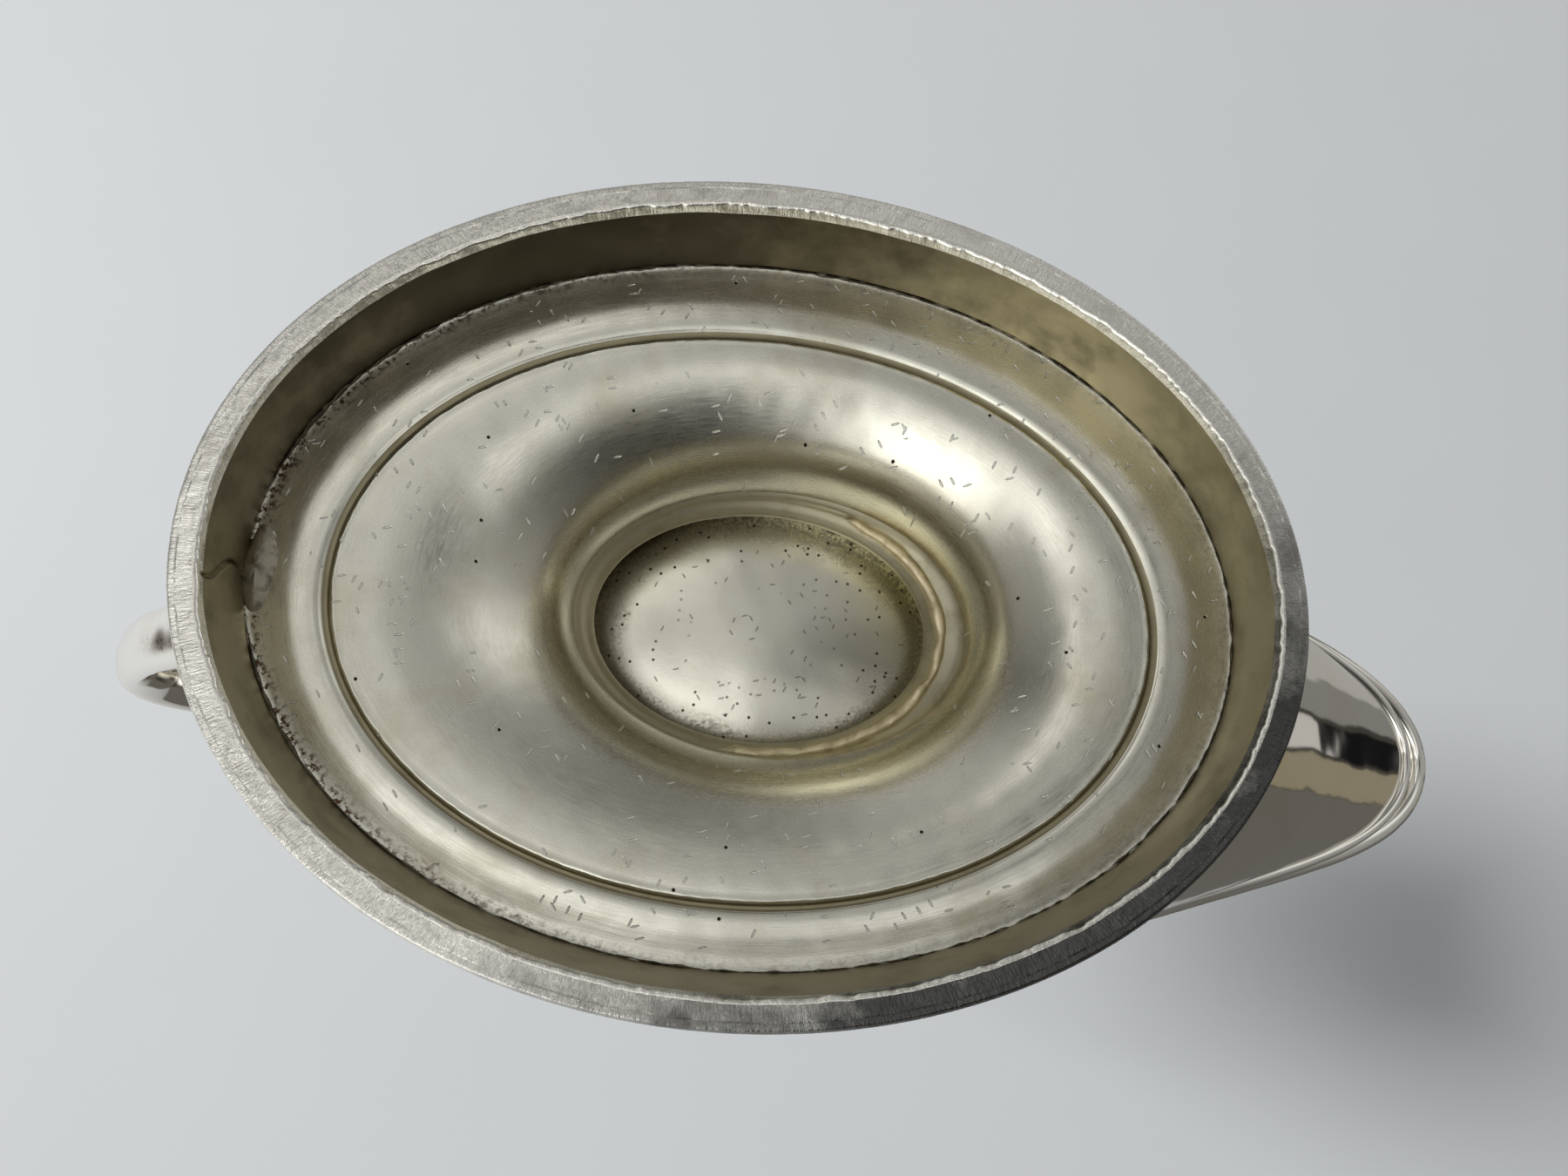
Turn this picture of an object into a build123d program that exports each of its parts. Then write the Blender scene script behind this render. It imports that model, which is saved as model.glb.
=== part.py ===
import os
from math import cos, pi, sin, sqrt

from build123d import *

# A silver sauce boat, in millimetres. +X points to the spout, +Z is up, and the foot stands on z = 0.

# Foot strip: the upright band that the boat stands on, with a wire round its outside
FOOT_A = 45.0  # half length and half width of the ground face's outer edge
FOOT_B = 34.15
FACE_WIDTH = 2.28  # the flat ring that touches the table
REED_OUT = 0.55  # the base wire's share of that ring
REED_BULGE = 0.35
REED_HEIGHT = 2.9
BAND_TOP_THICKNESS = 1.2

# Foot dome: a ring moulding, a narrow groove, then a trumpet that rises to the throat
SHEET = 0.9
SEAM_A = 42.5  # where the dome's underside meets the strip
SEAM_B = 30.9
SEAM_Z = 8.77
PLATE_A = 35.0  # the trumpet's outer edge, inside the groove
PLATE_B = 24.0
PLATE_X = 0.5
PLATE_Z = 8.32
PLATE_LAP = 0.6
MOULDING_TOP_Z = 11.1
TRUMPET_SECTIONS = 10
# The ring moulding's two sides as (share of the way in from the seam to the plate, height)
MOULDING_OUTSIDE = [
    (-0.19, SEAM_Z),
    (-0.18, SEAM_Z + SHEET),
    (0.0, 10.5),
    (0.22, MOULDING_TOP_Z),
    (0.48, 10.85),
    (0.75, 10.0),
    (1.1, 9.6),
]
MOULDING_INSIDE = [
    (0.0, SEAM_Z - SHEET),
    (0.0, SEAM_Z),
    (0.12, 9.6),
    (0.32, 10.2),
    (0.54, 9.9),
    (0.72, 8.85),
    (0.84, 8.5),
    (0.91, 8.7),
    (0.95, 8.95),
]

# Neck: a knopped collar between the trumpet and the bowl
NECK_X = 2.4
THROAT_A = 18.6
THROAT_B = 12.9
THROAT_Z = 19.5
LIP_A = 17.0  # narrowest opening
LIP_B = 11.2
LIP_Z = 22.4
COLLAR_TOP_Z = 28.0
# The collar's two sides as (distance out from the throat's oval or the lip's oval, height)
COLLAR_OUTSIDE = [(1.2, THROAT_Z), (2.0, 20.7), (2.0, 21.8), (1.1, 23.0), (0.8, 24.3), (2.0, COLLAR_TOP_Z)]
COLLAR_SOCKET = [(0.3, THROAT_Z), (0.1, 20.4)]
COLLAR_LIP = [(0.5, 21.4), (0.0, LIP_Z), (0.5, 23.4), (1.5, COLLAR_TOP_Z)]

# Bowl: one sheet, egg-shaped in plan low down, drawn out into a broad spout above
KEEL_Z = 24.0
BOWL_HEIGHT = 68.0
BOWL_HALF_WIDTH = 38.0
BOWL_REACH = 63.0
LENGTH_POWER = 3
WIDTH_POWER = 5
SPOUT_REACH = 46.0
SPOUT_POWER = 1.75
SPOUT_PINCH = 0.30
WALL = 0.9
SKIN_SECTIONS = 12
OUTLINE_POINTS = 28
SLOPE_STEP = 0.001

# Rim line in side view: low amidships, rising to the spout and to the handle
RIM_POINTS = 17
RIM_ROUNDS = 12
RIM_LOW_X = 5.0
RIM_LOW_Z = 71.0
SPOUT_RISE = 17.0
SPOUT_RUN = 101.0
REAR_RISE = 9.0
REAR_RUN = 66.0

# Reeds: half-round wires soldered to the wall just under the rim line
OUTER_REED_RADIUS = 1.3
INNER_REED_RADIUS = 0.8
REED_SECTIONS = 24
TURN_STEP = 0.01
SOLDER_FILM = 0.08

# Handle: a high loop in the plane of symmetry, broadest at the top
HANDLE_ROUTE = [
    (-46.0, 43.0),
    (-58.0, 49.0),
    (-72.0, 64.0),
    (-83.5, 78.5),
    (-92.8, 95.5),
    (-94.8, 112.0),
    (-85.0, 124.5),
    (-73.5, 117.0),
    (-67.5, 98.0),
    (-60.5, 77.0),
]
HANDLE_THICKNESS = 5.2
HANDLE_WIDTH = 8.4
HANDLE_TOP_WIDTH = 12.0
THUMB_POWER = 1.6
HANDLE_SECTIONS = 20
PAD_Z = 45.0
PAD_HALF_WIDTH = 8.0
PAD_HALF_HEIGHT = 6.5
PAD_THICKNESS = 1.2

# Solder left on the underside of the foot; angles run from the spout's end
BEAD_SIDES = 8
SOLDER_RADIUS = 0.5
FILLET_START = -65.0
FILLET_SWEEP = 165.0
SEAM_SOLDER_RADIUS = 0.45
SEAM_SOLDER_START = -170.0
SEAM_SOLDER_SWEEP = 340.0
PATCH_PLACE = (-41.2, 1.5)
PATCH_HALF_SIZE = (1.5, 3.7)
PATCH_SAG = 0.3


def oval_loft(levels, mode=Mode.ADD):
    """Lofts level ovals given as (half length, half width, height, place along X)."""
    sections = []
    for a, b, z, x in levels:
        with BuildSketch(Plane.XY.offset(z)) as section:
            with Locations((x, 0)):
                Ellipse(a, b)
        sections.append(section.sketch.face())
    loft(sections=sections, mode=mode)


def oval_bead(radius, a, b, z, x, start, sweep_angle):
    """A flat-sided bead of solder along part of a level oval, from the angle start on."""
    with BuildLine(Plane.XY.offset(z)) as path:
        EllipticalCenterArc((x, 0), a, b, start_angle=start, arc_size=sweep_angle)
    route = path.line.edge()
    with BuildSketch(Plane(route @ 0, z_dir=route % 0)) as section:
        RegularPolygon(radius, BEAD_SIDES)
    sweep(sections=section.sketch, path=route)


def moulding(steps):
    """Levels of one side of the ring moulding."""
    return [
        (
            SEAM_A + (PLATE_A - SEAM_A) * share,
            SEAM_B + (PLATE_B - SEAM_B) * share,
            height,
            PLATE_X * share,
        )
        for share, height in steps
    ]


def trumpet(outset, edge=0.0):
    """Levels of the trumpet's quarter-round sweep from the plate's edge up to the throat, moved out by outset."""
    run = PLATE_A - edge - THROAT_A
    rise = THROAT_Z - PLATE_Z
    levels = []
    for k in range(TRUMPET_SECTIONS + 1):
        turn = pi / 2 * k / TRUMPET_SECTIONS
        reach = sqrt((rise * sin(turn)) ** 2 + (run * cos(turn)) ** 2)
        across = outset * rise * sin(turn) / reach
        up = outset * run * cos(turn) / reach
        levels.append(
            (
                PLATE_A - edge - run * sin(turn) + across,
                PLATE_B - edge - (PLATE_B - edge - THROAT_B) * sin(turn) + across,
                PLATE_Z + rise * (1 - cos(turn)) + up,
                PLATE_X + (NECK_X - PLATE_X) * sin(turn),
            )
        )
    return levels


def belly(u, power):
    """Share of the full reach at the share u of the bowl's height: round at the keel, upright at the top."""
    return sqrt(1 - (1 - u) ** power)


def bowl_point(u, turn, inset=0.0):
    """A point of the bowl's level outline at the share u of its height; turn 0 is the spout's tip."""
    reach = BOWL_REACH * belly(u, LENGTH_POWER) - inset
    side = BOWL_HALF_WIDTH * belly(u, WIDTH_POWER) - inset
    if cos(turn) > 0:
        reach += SPOUT_REACH * u**SPOUT_POWER
        side *= 1 - SPOUT_PINCH * u**2 * sin(2 * turn) ** 2
    return NECK_X + reach * cos(turn), side * sin(turn)


def bowl_skin(inset):
    """Sections of the bowl's surface, moved inwards by inset along the sides' slope."""
    sections = [Vertex(NECK_X, 0, KEEL_Z + inset)]
    turns = [2 * pi * k / OUTLINE_POINTS for k in range(OUTLINE_POINTS)]
    for i in range(1, SKIN_SECTIONS + 1):
        u = (i / SKIN_SECTIONS) ** 2
        widening = belly(u, WIDTH_POWER) - belly(u - SLOPE_STEP, WIDTH_POWER)
        slope = BOWL_HALF_WIDTH * widening / (SLOPE_STEP * BOWL_HEIGHT)
        across = inset / sqrt(1 + slope**2)
        with BuildSketch(Plane.XY.offset(KEEL_Z + BOWL_HEIGHT * u + across * slope)) as section:
            with BuildLine():
                Spline(*[bowl_point(u, turn, across) for turn in turns], periodic=True)
            make_face()
        sections.append(section.sketch.face())
    return sections


def rim_height(x):
    """Height of the rim line in side view."""
    if x > RIM_LOW_X:
        return RIM_LOW_Z + SPOUT_RISE * ((x - RIM_LOW_X) / SPOUT_RUN) ** 2
    return RIM_LOW_Z + REAR_RISE * ((RIM_LOW_X - x) / REAR_RUN) ** 2


def rim_point(turn, drop):
    """A point on the bowl's outer surface, drop below the rim line, found in a few rounds."""
    z = RIM_LOW_Z
    for _ in range(RIM_ROUNDS):
        x, y = bowl_point((z - KEEL_Z) / BOWL_HEIGHT, turn)
        z = rim_height(x) - drop
    return Vector(x, y, z)


def reed_section(turn, radius, drop):
    """A half-round section of a rim wire, its flat side along the wall."""
    here = rim_point(turn, drop)
    along = (rim_point(turn + TURN_STEP, drop) - rim_point(turn - TURN_STEP, drop)).normalized()
    up = rim_point(turn, drop - radius) - here
    out = along.cross(up).normalized()
    with BuildSketch(Plane(here + out * SOLDER_FILM, x_dir=out, z_dir=along)) as section:
        with BuildLine():
            ThreePointArc((0, -radius), (radius, 0), (0, radius))
            Line((0, radius), (0, -radius))
        make_face()
    return section.sketch.face()


def rim_reed(radius, drop):
    """A half-round wire round the whole rim: one side is lofted and the other is its mirror image."""
    turns = [pi * k / REED_SECTIONS for k in range(REED_SECTIONS + 1)]
    loft(sections=[reed_section(turn, radius, drop) for turn in turns])
    mirror(about=Plane.XZ)


def handle_width(share):
    """The loop's width at a share of its length: slim at both ends, broad where a thumb rests."""
    return HANDLE_WIDTH + (HANDLE_TOP_WIDTH - HANDLE_WIDTH) * sin(pi * share**THUMB_POWER) ** 2


os.makedirs("parts", exist_ok=True)

# The bowl's outer and inner volumes, which shape the pieces that touch it
with BuildPart() as bowl_block:
    loft(sections=bowl_skin(0))

with BuildPart() as bowl_air:
    loft(sections=bowl_skin(WALL))

with BuildPart() as bowl_grown:
    loft(sections=bowl_skin(-PAD_THICKNESS))

with BuildPart() as body_bowl:
    add(bowl_block.part)
    add(bowl_air.part, mode=Mode.SUBTRACT)
    with BuildSketch(Plane.XZ):
        with BuildLine():
            reach = BOWL_REACH + SPOUT_REACH + 2 * NECK_X
            places = [reach * (2 * k / (RIM_POINTS - 1) - 1) for k in range(RIM_POINTS)]
            line = Spline(*[(x, rim_height(x)) for x in places])
            top = KEEL_Z + BOWL_HEIGHT + reach
            Polyline(line @ 1, (reach, top), (-reach, top), line @ 0)
        make_face()
    extrude(amount=BOWL_HALF_WIDTH * 2, both=True, mode=Mode.SUBTRACT)

with BuildPart() as rim_outer_reed:
    rim_reed(OUTER_REED_RADIUS, OUTER_REED_RADIUS)

with BuildPart() as rim_inner_reed:
    rim_reed(INNER_REED_RADIUS, 2 * OUTER_REED_RADIUS + INNER_REED_RADIUS + SOLDER_FILM)

# The loop and the pad under its lower end
with BuildPart() as handle_lower_pad:
    with BuildSketch(Plane.YZ):
        with Locations((0, PAD_Z)):
            Ellipse(PAD_HALF_WIDTH, PAD_HALF_HEIGHT)
    extrude(amount=-2 * BOWL_REACH)
    add(bowl_grown.part, mode=Mode.INTERSECT)
    add(bowl_block.part, mode=Mode.SUBTRACT)

with BuildPart() as handle_loop:
    with BuildLine(Plane.XZ):
        loop_line = Spline(*HANDLE_ROUTE)
    sections = []
    for k in range(HANDLE_SECTIONS + 1):
        share = k / HANDLE_SECTIONS
        with BuildSketch(Plane(loop_line @ share, x_dir=(0, 1, 0), z_dir=loop_line % share)) as section:
            Ellipse(handle_width(share) / 2, HANDLE_THICKNESS / 2)
        sections.append(section.sketch.face())
    loft(sections=sections)
    for wall in (bowl_grown, rim_outer_reed, rim_inner_reed):
        add(wall.part, mode=Mode.SUBTRACT)

# The strip that stands on the table; its ground face is shared with the base wire
with BuildPart() as foot_wall_band:
    band_outside = [
        (FOOT_A - REED_OUT, FOOT_B - REED_OUT, 0, 0),
        (SEAM_A + BAND_TOP_THICKNESS, SEAM_B + BAND_TOP_THICKNESS, SEAM_Z, 0),
    ]
    oval_loft(band_outside)
    band_inside = [
        (FOOT_A - FACE_WIDTH, FOOT_B - FACE_WIDTH, 0, 0),
        (SEAM_A, SEAM_B, SEAM_Z, 0),
    ]
    oval_loft(band_inside, mode=Mode.SUBTRACT)

with BuildPart() as foot_base_reed:
    with BuildLine() as ground_line:
        EllipticalCenterArc((0, 0), FOOT_A, FOOT_B, start_angle=0, arc_size=360)
    with BuildSketch(Plane.XZ) as reed_profile:
        with BuildLine():
            inside = FOOT_A - FACE_WIDTH
            top_corner = (FOOT_A - REED_OUT, REED_HEIGHT)
            ThreePointArc((FOOT_A, 0), (FOOT_A + REED_BULGE, REED_HEIGHT / 2), top_corner)
            Polyline(top_corner, (inside, REED_HEIGHT), (inside, 0), (FOOT_A, 0))
        make_face()
    sweep(sections=reed_profile.sketch, path=ground_line.line)
    oval_loft(band_outside, mode=Mode.SUBTRACT)

# The dome: its ring moulding first, then the trumpet inside it
with BuildPart() as foot_dome:
    oval_loft(moulding(MOULDING_OUTSIDE))
    oval_loft(moulding(MOULDING_INSIDE), mode=Mode.SUBTRACT)
    with BuildSketch(Plane.XY.offset(SEAM_Z)):
        with Locations((PLATE_X, 0)):
            Ellipse(PLATE_A - PLATE_LAP, PLATE_B - PLATE_LAP)
    extrude(amount=MOULDING_TOP_Z, mode=Mode.SUBTRACT)
    with BuildSketch(Plane.XY.offset(PLATE_Z)):
        with Locations((PLATE_X, 0)):
            Ellipse(PLATE_A, PLATE_B)
    extrude(amount=SHEET)
    oval_loft(trumpet(SHEET))
    oval_loft(trumpet(0, edge=PLATE_LAP), mode=Mode.SUBTRACT)

with BuildPart() as neck_collar:
    oval_loft([(THROAT_A + out, THROAT_B + out, z, NECK_X) for out, z in COLLAR_OUTSIDE])
    collar_inside = [(THROAT_A + out, THROAT_B + out, z, NECK_X) for out, z in COLLAR_SOCKET]
    collar_inside += [(LIP_A + out, LIP_B + out, z, NECK_X) for out, z in COLLAR_LIP]
    oval_loft(collar_inside, mode=Mode.SUBTRACT)
    add(bowl_block.part, mode=Mode.SUBTRACT)

# Solder left in the corners of the foot
with BuildPart() as neck_solder_fillet:
    throat_gap = SOLDER_RADIUS / 4
    oval_bead(
        SOLDER_RADIUS,
        THROAT_A + throat_gap,
        THROAT_B + throat_gap,
        THROAT_Z,
        NECK_X,
        FILLET_START,
        FILLET_SWEEP,
    )
    add(foot_dome.part, mode=Mode.SUBTRACT)
    add(neck_collar.part, mode=Mode.SUBTRACT)

with BuildPart() as foot_seam_solder:
    oval_bead(SEAM_SOLDER_RADIUS, SEAM_A, SEAM_B, SEAM_Z, 0, SEAM_SOLDER_START, SEAM_SOLDER_SWEEP)
    add(foot_dome.part, mode=Mode.SUBTRACT)
    add(foot_wall_band.part, mode=Mode.SUBTRACT)

with BuildPart() as foot_solder_patch:
    with BuildSketch(Plane.XY.offset(SEAM_Z - PATCH_SAG)):
        with Locations(PATCH_PLACE):
            Ellipse(*PATCH_HALF_SIZE)
    extrude(amount=SHEET + PATCH_SAG)
    fillet(faces().sort_by(Axis.Z)[0].edges(), PATCH_SAG)
    add(foot_dome.part, mode=Mode.SUBTRACT)
    add(foot_wall_band.part, mode=Mode.SUBTRACT)
    add(foot_seam_solder.part, mode=Mode.SUBTRACT)

pieces = {
    "body_bowl": body_bowl,
    "rim_outer_reed": rim_outer_reed,
    "rim_inner_reed": rim_inner_reed,
    "handle_lower_pad": handle_lower_pad,
    "handle_loop": handle_loop,
    "foot_wall_band": foot_wall_band,
    "foot_base_reed": foot_base_reed,
    "foot_dome": foot_dome,
    "neck_collar": neck_collar,
    "neck_solder_fillet": neck_solder_fillet,
    "foot_seam_solder": foot_seam_solder,
    "foot_solder_patch": foot_solder_patch,
}
for name, piece in pieces.items():
    piece.part.label = name
    export_step(piece.part, f"parts/{name}.step")
    print(name, round(piece.part.volume), piece.part.is_valid, len(piece.part.solids()))
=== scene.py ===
"""A silver sauce boat: its looks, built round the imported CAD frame."""

from math import cos, pi, radians, sin, sqrt

import bpy
import numpy as np
from mathutils import Matrix, Vector


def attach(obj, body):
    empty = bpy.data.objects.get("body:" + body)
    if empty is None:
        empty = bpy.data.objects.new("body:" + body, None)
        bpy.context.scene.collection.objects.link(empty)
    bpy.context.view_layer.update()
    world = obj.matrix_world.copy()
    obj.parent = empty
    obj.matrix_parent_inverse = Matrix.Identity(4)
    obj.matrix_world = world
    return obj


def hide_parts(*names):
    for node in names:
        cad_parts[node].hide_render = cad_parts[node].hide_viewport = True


MM = 0.001
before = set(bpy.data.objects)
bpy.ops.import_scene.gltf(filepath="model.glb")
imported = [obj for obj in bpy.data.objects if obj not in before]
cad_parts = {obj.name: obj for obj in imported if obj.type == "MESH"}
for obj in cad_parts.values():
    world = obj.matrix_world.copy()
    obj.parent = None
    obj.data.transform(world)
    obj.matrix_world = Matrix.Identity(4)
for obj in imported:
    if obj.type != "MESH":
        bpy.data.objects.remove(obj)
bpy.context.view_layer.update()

# ---------------------------------------------------------------- driving sizes, in millimetres
# They repeat the CAD's, except that the plate and the neck's lip lie a little off centre, as in the
# photograph, and the plate is slightly larger. Names that end in A and B are an oval's half length
# along X and half width along Y.
FOOT_A, FOOT_B = 45.0, 34.15
FACE_WIDTH = 2.28  # the filed face that the boat stands on
REED_OUT, REED_BULGE, REED_HEIGHT = 0.55, 0.35, 2.9  # the wire outside the upright band
BAND_TOP = 1.2
SHEET = 0.9
SEAM_A, SEAM_B, SEAM_Z = 42.5, 30.9, 8.77  # where the dome's underside meets the band
PLATE_A, PLATE_B, PLATE_X, PLATE_Y, PLATE_Z = 35.1, 24.5, -0.1, 1.0, 8.32
PLATE_EDGE = 0.6  # from the plate's outline to the start of its sweep
NECK_X = 2.4
THROAT_A, THROAT_B, THROAT_Z = 18.6, 12.9, 19.5  # the top of the dome's sweep
LIP_A, LIP_B, LIP_Z = 17.0, 11.2, 22.4  # the neck's narrowest opening
LIP_SHIFT = 0.9  # the lip lies this much towards the handle
COLLAR_TOP_Z = 28.0
KEEL_Z, BOWL_HEIGHT, BOWL_HALF_WIDTH, BOWL_REACH = 24.0, 68.0, 38.0, 63.0
LENGTH_POWER, WIDTH_POWER = 3, 5
SPOUT_REACH, SPOUT_POWER, SPOUT_PINCH = 46.0, 1.75, 0.30
WALL = 0.9
RIM_LOW_X, RIM_LOW_Z = 5.0, 71.0
SPOUT_RISE, SPOUT_RUN = 17.0, 101.0
REAR_RISE, REAR_RUN = 9.0, 66.0
OUTER_REED, INNER_REED = 1.3, 0.8  # radii of the two rim wires
# The handle's middle line, as (place along X, height), from its lower end.
HANDLE_ROUTE = [
    (-46.0, 43.0),
    (-58.0, 49.0),
    (-72.0, 64.0),
    (-83.5, 78.5),
    (-92.8, 95.5),
    (-94.8, 112.0),
    (-85.0, 124.5),
    (-73.5, 117.0),
    (-67.5, 98.0),
    (-60.5, 77.0),
]
HANDLE_THICKNESS, HANDLE_WIDTH, HANDLE_TOP_WIDTH, THUMB_POWER = 5.2, 8.4, 12.0, 1.6
PAD_Z, PAD_HALF_WIDTH, PAD_HALF_HEIGHT, PAD_CROWN = 45.0, 8.0, 6.5, 1.3
PATCH_X, PATCH_Y, PATCH_HALF_X, PATCH_HALF_Y, PATCH_DEPTH = -41.5, 1.5, 1.8, 4.2, 1.25


# ---------------------------------------------------------------- small tools
def curve(points, per_span=8):
    """A Catmull-Rom curve through points of any dimension."""
    p = np.array(points, float)
    ends = np.vstack([2 * p[0] - p[1], p, 2 * p[-1] - p[-2]])
    t = np.linspace(0, 1, per_span, endpoint=False)[:, None]
    runs = []
    for a, b, c, d in zip(ends, ends[1:], ends[2:], ends[3:]):
        bend = (2 * a - 5 * b + 4 * c - d) * t**2 + (3 * b - a - 3 * c + d) * t**3
        runs.append(0.5 * (2 * b + (c - a) * t + bend))
    return np.vstack(runs + [p[-1:]])


def straight(points, per_span=6):
    """Evenly filled straight runs between points of any dimension."""
    p = np.array(points, float)
    t = np.linspace(0, 1, per_span, endpoint=False)[:, None]
    return np.vstack([a + (b - a) * t for a, b in zip(p, p[1:])] + [p[-1:]])


def ripple(points, size, seed, waves=14):
    """Smooth random waves of about the given size over points, mostly between -1 and 1."""
    draw = np.random.default_rng(seed)
    total = np.zeros(points.shape[:-1])
    for _ in range(waves):
        way = draw.normal(size=3)
        way /= np.linalg.norm(way) * size * draw.uniform(0.6, 1.6) / (2 * pi)
        total += np.sin(points @ way + draw.uniform(0, 2 * pi))
    return total / sqrt(waves)


def ragged(turn, count, seed):
    """A random ragged value round a circle, with count knots, between -1 and 1."""
    knots = np.random.default_rng(seed).uniform(-1, 1, count)
    return np.interp(turn / (2 * pi) * count, np.arange(count + 1), np.append(knots, knots[0]))


def bump(turn, middle, width):
    """1 at the turn called middle, in degrees, and 0 beyond width on both sides."""
    off = (np.degrees(turn) - middle + 180) % 360 - 180
    return np.clip(1 - (off / width) ** 2, 0, 1) ** 2


def distance_along(points):
    """How far each point lies along the line through all of them."""
    return np.concatenate([[0], np.cumsum(np.linalg.norm(np.diff(points, axis=0), axis=1))])


def push_out(points, amount, turn):
    """Moves points sideways by amount, away from the foot's axis."""
    points[..., 0] += amount * np.cos(turn)
    points[..., 1] += amount * np.sin(turn)


def grid_faces(rows, cols, close_rows):
    """Quads over a grid whose columns close; close_rows joins the last row to the first."""
    faces = []
    for i in range(rows if close_rows else rows - 1):
        low, high = i * cols, (i + 1) % rows * cols
        faces += [(low + j, low + (j + 1) % cols, high + (j + 1) % cols, high + j) for j in range(cols)]
    return faces


def flow_of(points, radius=40.0):
    """Streak coordinates: a fixed circle round the piece, and the distance along its profile."""
    rows, cols = points.shape[:2]
    turn = np.linspace(0, 2 * pi, cols, endpoint=False)
    flow = np.empty(points.shape)
    flow[..., 0] = radius * np.cos(turn)
    flow[..., 1] = radius * np.sin(turn)
    flow[..., 2] = distance_along(points[:, 0])[:, None]
    return flow


def grid_piece(name, points, materials, node, close_rows=False, row_zones=None):
    """A piece in place of a CAD node, riding on the boat's one body: a grid of points in millimetres.

    Its columns close round the piece. Its rows close too, or end in two flat caps. row_zones gives
    each row of faces the number of its material.
    """
    rows, cols = points.shape[:2]
    faces = grid_faces(rows, cols, close_rows)
    if not close_rows:
        faces += [tuple(range(cols - 1, -1, -1)), tuple(range((rows - 1) * cols, rows * cols))]
    mesh = bpy.data.meshes.new(name)
    mesh.from_pydata((points.reshape(-1, 3) * MM).tolist(), [], faces)
    mesh.update()
    mesh.polygons.foreach_set("use_smooth", [True] * len(mesh.polygons))
    layer = mesh.attributes.new("flow", "FLOAT_VECTOR", "POINT")
    layer.data.foreach_set("vector", flow_of(points).astype(np.float32).ravel())
    for material in materials:
        mesh.materials.append(material)
    if row_zones is not None:
        mesh.polygons.foreach_set("material_index", np.repeat(row_zones, cols).tolist())
    piece = bpy.data.objects.new(name, mesh)
    bpy.context.scene.collection.objects.link(piece)
    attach(piece, "root")
    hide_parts(node)


def oval_rows(a, b, steps, x=0.0):
    """Profile rows beside an oval, from (distance outside it, height)."""
    return [(a + out, b + out, x, z) for out, z in steps]


def oval_grid(profile, cols):
    """Rings of points for a profile of (half length, half width, place along X, height)."""
    turn = np.linspace(0, 2 * pi, cols, endpoint=False)
    a, b, x, z = (profile[:, k : k + 1] for k in range(4))
    return np.stack([x + a * np.cos(turn), b * np.sin(turn), z + 0 * turn], -1), turn


# ---------------------------------------------------------------- shapes shared with the frame
def belly(u, power):
    """How far out the bowl's wall is at the share u of its height, as a share of its reach."""
    return np.sqrt(np.maximum(1 - (1 - u) ** power, 0))


def bowl_point(u, turn):
    """The bowl's level outline at the share u of its height; turn 0 is the spout's tip."""
    reach = BOWL_REACH * belly(u, LENGTH_POWER)
    side = BOWL_HALF_WIDTH * belly(u, WIDTH_POWER)
    front = np.cos(turn) > 0
    reach = reach + np.where(front, SPOUT_REACH * u**SPOUT_POWER, 0)
    side = side * np.where(front, 1 - SPOUT_PINCH * u**2 * np.sin(2 * turn) ** 2, 1)
    return NECK_X + reach * np.cos(turn), side * np.sin(turn)


def rim_height(x):
    """The rim line: lowest near the middle, and rising to the spout and to the handle."""
    rise = SPOUT_RISE * ((x - RIM_LOW_X) / SPOUT_RUN) ** 2
    return RIM_LOW_Z + np.where(x > RIM_LOW_X, rise, REAR_RISE * ((RIM_LOW_X - x) / REAR_RUN) ** 2)


def rim_share(turn, drop=0.0):
    """The share of the bowl's height at which its wall meets the rim line, drop below it."""
    z = np.full(np.shape(turn), RIM_LOW_Z)
    for _ in range(14):
        x, _y = bowl_point((z - KEEL_Z) / BOWL_HEIGHT, turn)
        z = rim_height(x) - drop
    return (z - KEEL_Z) / BOWL_HEIGHT


def rim_points(turn, drop):
    """Points on the bowl's wall, drop below the rim line."""
    u = rim_share(turn, drop)
    x, y = bowl_point(u, turn)
    return np.stack([x, y, KEEL_Z + BOWL_HEIGHT * u], -1)


def moulding(steps):
    """Profile rows from (share of the way in from the seam to the plate, height)."""
    return [
        (SEAM_A + (PLATE_A - SEAM_A) * s, SEAM_B + (PLATE_B - SEAM_B) * s, PLATE_X * s, z) for s, z in steps
    ]


def trumpet(outset, edge, count):
    """Profile rows of the dome's quarter-round sweep, raised by outset; it starts edge inside the plate."""
    run, rise = PLATE_A - edge - THROAT_A, THROAT_Z - PLATE_Z
    turn = np.linspace(0, pi / 2, count)
    reach = np.sqrt((rise * np.sin(turn)) ** 2 + (run * np.cos(turn)) ** 2)
    across, up = outset * rise * np.sin(turn) / reach, outset * run * np.cos(turn) / reach
    a = PLATE_A - edge - run * np.sin(turn) + across
    b = PLATE_B - edge - (PLATE_B - edge - THROAT_B) * np.sin(turn) + across
    x = PLATE_X + (NECK_X - PLATE_X) * np.sin(turn)
    return np.stack([a, b, x, PLATE_Z + rise * (1 - np.cos(turn)) + up], -1)


# ---------------------------------------------------------------- materials
NICK_TURNS = (0.3, 1.2, 2.2)  # radians
NICK_EDGE = 0.08  # where a nick ends, as a share of its random cell


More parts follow.
